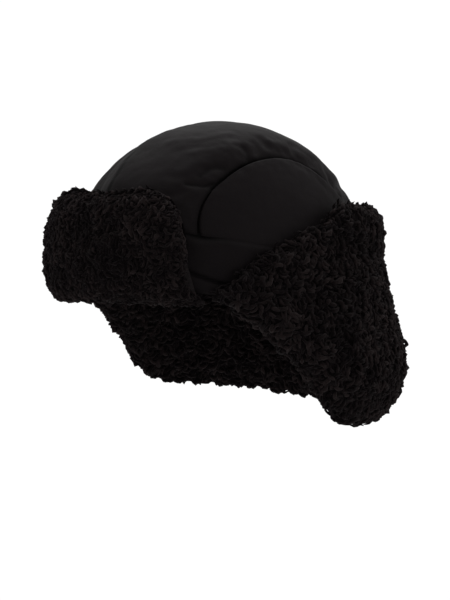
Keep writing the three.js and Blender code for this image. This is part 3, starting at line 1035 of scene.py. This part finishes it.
@dataclass(frozen=True)
class EarFlap:
    """An ear flap turned up along a slanting fold: thick fleece with nylon in its pocket."""

    start: float = 56.3
    end: float = 180.0
    backing: float = 2.2
    pocket_gap: float = 0.75
    fold_pile: float = 11.0
    bottom_round: float = 21.0
    top_round: float = 9.0
    leg_top: float = -2.4
    leg_inner: float = -3.5
    crown_fall: float = 0.4
    swell: float = 1.0
    tip_run: float = 4.0
    least_x: float = 0.1
    columns: int = 170
    visible: int = 180
    hidden: int = 14
    locks: Locks = Locks(2.7, length=(6, 14), radius=(0.8, 2), arch=(0.8, 2.9), bend=(4, 12), clump=2.8)
    # By azimuth: the height of the turned lower edge, of the free upper edge, and the share of the
    # full thickness.
    rows: Table = (
        (55, -5.5, 3, 0.25), (61, -6.5, 8.5, 0.44), (68, -14.5, 24, 0.60), (74, -20.5, 34.5, 0.70),
        (79, -27.5, 40, 0.77), (85, -36, 48.5, 0.83), (91, -45, 53.5, 0.89), (98, -60, 60, 0.95),
        (104, -73, 70, 1), (111, -77.5, 75, 1), (125, -76, 76.5, 1), (140, -72.5, 78, 1),
        (160, -71.5, 71, 1), (180, -70.5, 64, 1),
    )  # fmt: skip
    # By height: how far out the outer face, the middle of the fold and the neck side lie.
    profile: Table = (
        (-80, 27, 24, 19), (-60, 35, 24, 13), (-40, 40, 22, 9), (-20, 36.5, 14.5, 3), (0, 28, 7, -3.5),
        (20, 20.5, 3.5, -3.5), (40, 12.5, 2.6, -3.5), (60, 9, -1.4, -3.5), (80, 6, -8, -3.5),
    )  # fmt: skip

    def _row(self, azimuth: Values) -> tuple[Array, Array, Array]:
        """Returns the lower edge, the upper edge and the share of the thickness at an azimuth."""
        return tuple(Smooth(self.rows, column)(azimuth) for column in (1, 2, 3))

    def _lining_offset(self, azimuth: Values, height: Values) -> Array:
        """Returns the offset of the nylon in the middle of the fold."""
        height = np.asarray(height)
        free = Smooth(self.profile, 2)(height) * np.where(height < 30, self._row(azimuth)[2], 1)
        narrowing = self.crown_fall * np.maximum(0, height - FORM.seam_level)
        return np.maximum(free, self.swell + FORM.lay_gap + self.backing / 2 - narrowing)

    def _slot_bottom(self, azimuth: Values) -> Array:
        """Returns the lowest height of the pocket."""
        fold, _, girth = self._row(azimuth)
        return np.minimum(fold + self.fold_pile * girth, self.leg_top - 1.2)

    def _section(self, azimuth: float) -> Array:
        """Returns the closed section of the fleece as offsets and heights."""
        fold, top, girth = self._row(azimuth)
        slot = self._slot_bottom(azimuth)
        half, tall = self.backing / 2 + self.pocket_gap, top - fold
        top_round, bottom_round = min(self.top_round, tall * 0.3), min(self.bottom_round, tall * 0.35)
        height = top - tall * (1 - np.cos(np.linspace(0, 1, 220) * math.pi)) / 2
        plump = rounded((top - height) / top_round) * rounded((height - fold) / bottom_round)
        middle = self._lining_offset(azimuth, height) + half
        full = np.maximum(middle + 3, Smooth(self.profile, 1)(height) * girth + 2 * (1 - girth))
        outer = np.stack([mix(middle, full, plump), height], axis=-1)
        share = np.linspace(0.02, 1, 90)
        leg_height = mix(fold, self.leg_top, share)
        inner = mix(self.leg_inner, Smooth(self.profile, 3)(leg_height), girth)
        neck_side = np.where(leg_height < -3, inner, self.leg_inner)
        leg_start = self._lining_offset(azimuth, leg_height) - 2
        leg = np.stack([mix(leg_start, neck_side, rounded(share / 0.35)), leg_height], axis=-1)
        face = softened(resampled(np.vstack([outer, leg]), self.visible), 10)
        inside = np.concatenate([[self.leg_top, slot], np.linspace(slot, top, 8)])
        offset = self._lining_offset(azimuth, inside) + half * np.where(np.arange(10) < 2, -1, 1)
        pocket = np.stack([offset, inside], axis=-1)
        behind = resampled(np.vstack([face[-1:], pocket]), self.hidden)
        ring = np.vstack([face, behind[1:-1], face[:1]])
        shrink = mix(0.3, 1, rounded((azimuth - self.start) / self.tip_run))
        return mix(ring.mean(axis=0), ring, shrink)

    def sections(self) -> Array:
        """Returns the points of the fleece's ground."""
        azimuths = np.linspace(self.start, self.end, self.columns)
        sections = np.stack([self._section(azimuth) for azimuth in azimuths])
        points = FORM.around(azimuths[:, None], sections[..., 0], sections[..., 1])
        points[-1, :, 0] = self.least_x
        return points

    def lining(self) -> Array:
        """Returns the points of the nylon in the pocket."""
        azimuth = np.linspace(self.start + 4, self.end - 0.15, 150)[:, None]
        low, high = self._slot_bottom(azimuth) + self.pocket_gap, self._row(azimuth)[1] - 2.5
        height = mix(low, high, np.linspace(0, 1, 60)[None, :])
        return FORM.around(azimuth, self._lining_offset(azimuth, height) + self.backing / 2, height)

    def build(self, nylon: "Finish", sherpa: "Finish") -> list[Thing]:
        """Builds the nylon and the fleece of both ear flaps."""
        points, lining = self.sections(), self.lining()
        made = []
        for side, mirrored, seed in (("left", False, 11), ("right", True, 17)):
            name = f"ear_flap_lining_cloth_{side}"
            cloth = Cloth(name, lining, thickness=self.backing, mirrored=mirrored)
            made.append(worn(cloth.made(), f"ear_flap_backing_{side}", nylon))
            fleece = Fleece(points * MIRROR if mirrored else points, self.visible, self.locks, seed=seed)
            made += fleece.build(f"ear_flap_fleece_{side}", sherpa, self.least_x)
        return made


# Finishes.


def linear(colour: str) -> tuple[float, float, float, float]:
    """Returns an sRGB hex colour, such as #1a1a1b, as linear red, green, blue and alpha."""
    parts = [int(colour[k : k + 2], 16) / 255 for k in (1, 3, 5)]
    return *(p / 12.92 if p <= 0.04045 else ((p + 0.055) / 1.055) ** 2.4 for p in parts), 1.0


def node(tree: bpy.types.NodeTree, kind: str, out: str | int, settings: dict, inputs: dict) -> Socket:
    """Adds a node.

    Args:
        tree: The material's node tree.
        kind: The node's type, without ShaderNode.
        out: The output that is used.
        settings: The node's properties.
        inputs: A value, or another node's output, for each input.

    Returns:
        The node's output.
    """
    made = tree.nodes.new(f"ShaderNode{kind}")
    for name, value in settings.items():
        setattr(made, name, value)
    for name, value in inputs.items():
        if isinstance(value, Socket):
            tree.links.new(value, made.inputs[name])
        else:
            made.inputs[name].default_value = value
    return made.outputs[out]


@dataclass(frozen=True)
class Finish:
    """A finish of the hat: the record's slot and how its material is made."""

    slot: str
    name: str

    def material(self) -> bpy.types.Material:
        """Returns the finish's material, made once."""
        made = bpy.data.materials.get(self.name)
        if not made:
            made = bpy.data.materials.new(self.name)
            made.use_nodes = True
            tree = made.node_tree
            tree.nodes.clear()
            surface = tree.nodes.new("ShaderNodeOutputMaterial").inputs["Surface"]
            tree.links.new(self.shader(tree), surface)
        return made

    def shader(self, tree: bpy.types.NodeTree) -> Socket:
        """Adds the finish's nodes to an empty tree and returns the shader."""
        raise NotImplementedError


@dataclass(frozen=True)
class PaddedNylon(Finish):
    """Fine plain-woven nylon over padding: dull, a little silky, with small creases."""

    dark: str = "#110e0f"
    light: str = "#151213"
    thread: float = 0.8
    crease: float = 9.0
    patch: float = 30.0

    def shader(self, tree: bpy.types.NodeTree) -> Socket:
        """Adds the nylon's nodes. Threads are drawn at twice their size, so that they show."""
        place = node(tree, "TexCoord", "Object", {}, {})
        cloth = node(tree, "UVMap", "UV", {"uv_map": "cloth"}, {})
        crease = node(tree, "Attribute", "Fac", {"attribute_name": "crease"}, {})
        # A wave scale of 0.31 gives one band a metre.
        threads = {"Vector": cloth, "Scale": 0.31 / (self.thread * MILLIMETRE), "Distortion": 0.6}
        warp, weft = (node(tree, "TexWave", "Fac", {"bands_direction": way}, threads) for way in "XY")
        weave = node(tree, "Math", "Value", {"operation": "MULTIPLY"}, {0: warp, 1: weft})
        small = {"Scale": 1 / (self.crease * MILLIMETRE), "Detail": 4.0, "Roughness": 0.6}
        creases = node(tree, "TexNoise", "Fac", {}, {"Vector": place, **small})
        large = {"Scale": 1 / (self.patch * MILLIMETRE), "Detail": 2.0}
        tone = node(tree, "TexNoise", "Fac", {}, {"Vector": place, **large})
        colours = {"Factor": tone, 6: linear(self.dark), 7: linear(self.light)}
        colour = node(tree, "Mix", 2, {"data_type": "RGBA"}, colours)
        # Painted shade: the crease attribute darkens the colour towards black in folds, seams and creases.
        shades = {"Factor": crease, 6: colour, 7: linear("#000000")}
        shaded = node(tree, "Mix", 2, {"data_type": "RGBA"}, shades)
        soft = node(tree, "Bump", "Normal", {}, {"Height": creases, "Strength": 0.5, "Distance": 0.0008})
        fine = {"Height": weave, "Strength": 0.35, "Distance": 0.0001, "Normal": soft}
        surface = {"Base Color": shaded, "Roughness": 0.6, "Specular IOR Level": 0.03}
        surface["Normal"] = node(tree, "Bump", "Normal", {}, fine)
        return node(tree, "BsdfPrincipled", "BSDF", {}, surface)


@dataclass(frozen=True)
class Sherpa(Finish):
    """Curly polyester sherpa: dull matted locks, with painted shade deep black at the roots and painted
    light faintly on the tips.
    """

    # The colour of the painted shade deep in the pile, and of the painted light on the tips.
    root: str = "#040203"
    lit_tip: str = "#1e1818"
    fibre: float = 0.45
    fibre_length: float = 3.5

    def shader(self, tree: bpy.types.NodeTree) -> Socket:
        """Adds the fleece's nodes. Fibres are drawn coarser than they are, so that they show."""
        cloth = node(tree, "UVMap", "UV", {"uv_map": "cloth"}, {})
        pile = node(tree, "Attribute", "Fac", {"attribute_name": "pile"}, {})
        scale = (1 / (self.fibre_length * MILLIMETRE), 1 / (self.fibre * MILLIMETRE), 1.0)
        combed = node(tree, "Mapping", "Vector", {}, {"Vector": cloth, "Scale": scale})
        strands = {"Vector": combed, "Scale": 1.0, "Detail": 3.0, "Roughness": 0.65}
        fibres = node(tree, "TexNoise", "Fac", {"noise_dimensions": "2D"}, strands)
        lit = node(tree, "Math", "Value", {"operation": "MULTIPLY"}, {0: pile, 1: fibres})
        doubled = node(tree, "Math", "Value", {"operation": "MULTIPLY", "use_clamp": True}, {0: lit, 1: 2.0})
        deep = node(tree, "Math", "Value", {"operation": "POWER", "use_clamp": True}, {0: doubled, 1: 1.7})
        # Painted shade and light: the colour runs from the root colour low in the pile to the lit tip colour
        # on the tips.
        colours = {"Factor": deep, 6: linear(self.root), 7: linear(self.lit_tip)}
        fuzz = {"Height": fibres, "Strength": 0.9, "Distance": 0.0006}
        surface = {
            "Base Color": node(tree, "Mix", 2, {"data_type": "RGBA"}, colours),
            "Roughness": 0.9,
            "Specular IOR Level": 0.03,
            "Sheen Weight": 0.03,
            "Sheen Roughness": 0.5,
            "Sheen Tint": linear("#fff0f0"),
            "Normal": node(tree, "Bump", "Normal", {}, fuzz),
        }
        return node(tree, "BsdfPrincipled", "BSDF", {}, surface)


class Finishes(Enum):
    """The finishes that the hat is made in."""

    CROWN = PaddedNylon("crown_nylon", "padded black nylon")
    # The band's nylon is the crown's nylon made darker: painted shade, as the band lies lower and gets less
    # light.
    SHADED_BAND = PaddedNylon("band_nylon", "padded black nylon of the band", "#0f0c0d", "#131011")
    FLEECE = Sherpa("sherpa", "black curly sherpa fleece")


def worn(piece: Thing, cad_node: str, finish: Finish) -> Thing:
    """Puts a piece on the hat in place of its plain solid.

    Args:
        piece: The finished object.
        cad_node: The solid that it stands for.
        finish: What it is made of.

    Returns:
        The piece.
    """
    piece.data.materials.append(finish.material())
    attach(piece, "root")
    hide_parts(cad_node)
    return piece


# Studio.


@dataclass(frozen=True)
class Lamp:
    """A far softbox: its strength, how wide it looks in degrees, and where it stands."""

    name: str
    strength: float
    spread: float
    place: tuple[float, float, float]

    def build(self) -> None:
        """Adds the lamp, shining at the hat."""
        data = bpy.data.lights.new(self.name, "SUN")
        data.energy, data.angle = self.strength, math.radians(self.spread)
        lamp = shown(self.name, data)
        lamp.location, lamp.rotation_mode = self.place, "QUATERNION"
        lamp.rotation_quaternion = Vector(self.place).to_track_quat("Z", "Y")


@dataclass(frozen=True)
class Studio:
    """A pale floor, soft light and a camera at the left front of the hat, in metres and degrees."""

    azimuth: float = 50.6
    elevation: float = 9.0
    distance: float = 1.5
    lens: float = 125.0
    aim: tuple[float, float] = (0.0069, -0.0068)
    floor_level: float = -0.36
    floor_size: float = 90.0
    floor_colour: str = "#eaeaea"
    surround: float = 0.65
    lamps: tuple[Lamp, ...] = (
        Lamp("ceiling_softbox", 2.1, 70.0, (-0.4, 0.38, 0.85)),
        Lamp("back_softbox", 0.4, 60.0, (0.5, 0.9, 0.4)),
    )

    def build(self) -> None:
        """Builds the floor, the lights and the camera."""
        self._floor()
        self._lights()
        self._camera()

    def _floor(self) -> None:
        """Adds a wide pale floor below the hat."""
        shape = bmesh.new()
        bmesh.ops.create_grid(shape, x_segments=1, y_segments=1, size=self.floor_size)
        bmesh.ops.translate(shape, verts=shape.verts, vec=(0, 0, self.floor_level))
        floor = shown("floor", meshed(shape, "floor"))
        paint = bpy.data.materials.new("matt pale studio floor")
        paint.use_nodes = True
        inputs = paint.node_tree.nodes["Principled BSDF"].inputs
        inputs["Base Color"].default_value = linear(self.floor_colour)
        inputs["Roughness"].default_value, inputs["Specular IOR Level"].default_value = 0.9, 0.1
        floor.data.materials.append(paint)

    def _lights(self) -> None:
        """Adds an even pale surround and the softboxes."""
        world = bpy.data.worlds.new("studio")
        bpy.context.scene.world = world
        world.use_nodes = True
        inputs = world.node_tree.nodes["Background"].inputs
        inputs["Color"].default_value = linear("#ffffff")
        inputs["Strength"].default_value = self.surround
        for softbox in self.lamps:
            softbox.build()

    def _camera(self) -> None:
        """Adds the camera at the photograph's angle."""
        turn, lift = math.radians(self.azimuth), math.radians(self.elevation)
        back = Vector((math.sin(turn) * math.cos(lift), -math.cos(turn) * math.cos(lift), math.sin(lift)))
        right = Vector((math.cos(turn), math.sin(turn), 0))
        up = back.cross(right)
        data = bpy.data.cameras.new("camera")
        data.lens, data.sensor_width, data.sensor_fit = self.lens, 36.0, "AUTO"
        data.clip_start, data.clip_end = 0.05, 400.0
        camera = shown("camera", data)
        target = right * self.aim[0] + up * self.aim[1]
        axes = Matrix((right, up, back)).transposed().to_4x4()
        camera.matrix_world = Matrix.Translation(target + back * self.distance) @ axes
        bpy.context.scene.camera = camera
        bpy.context.scene.view_settings.view_transform = "Standard"


def main() -> None:
    """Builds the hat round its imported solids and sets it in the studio."""
    logging.basicConfig(level=logging.INFO, format="%(message)s")
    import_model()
    Studio().build()
    nylon, band_nylon, sherpa = (finish.value for finish in Finishes)
    pieces = [
        *Crown().build(nylon),
        *LowerBand().build(band_nylon),
        *Peak().build(nylon, sherpa),
        *EarFlap().build(nylon, sherpa),
    ]
    for piece in pieces:
        log.info("%s: %d faces", piece.name, len(piece.data.polygons))


if __name__ == "__main__":
    main()
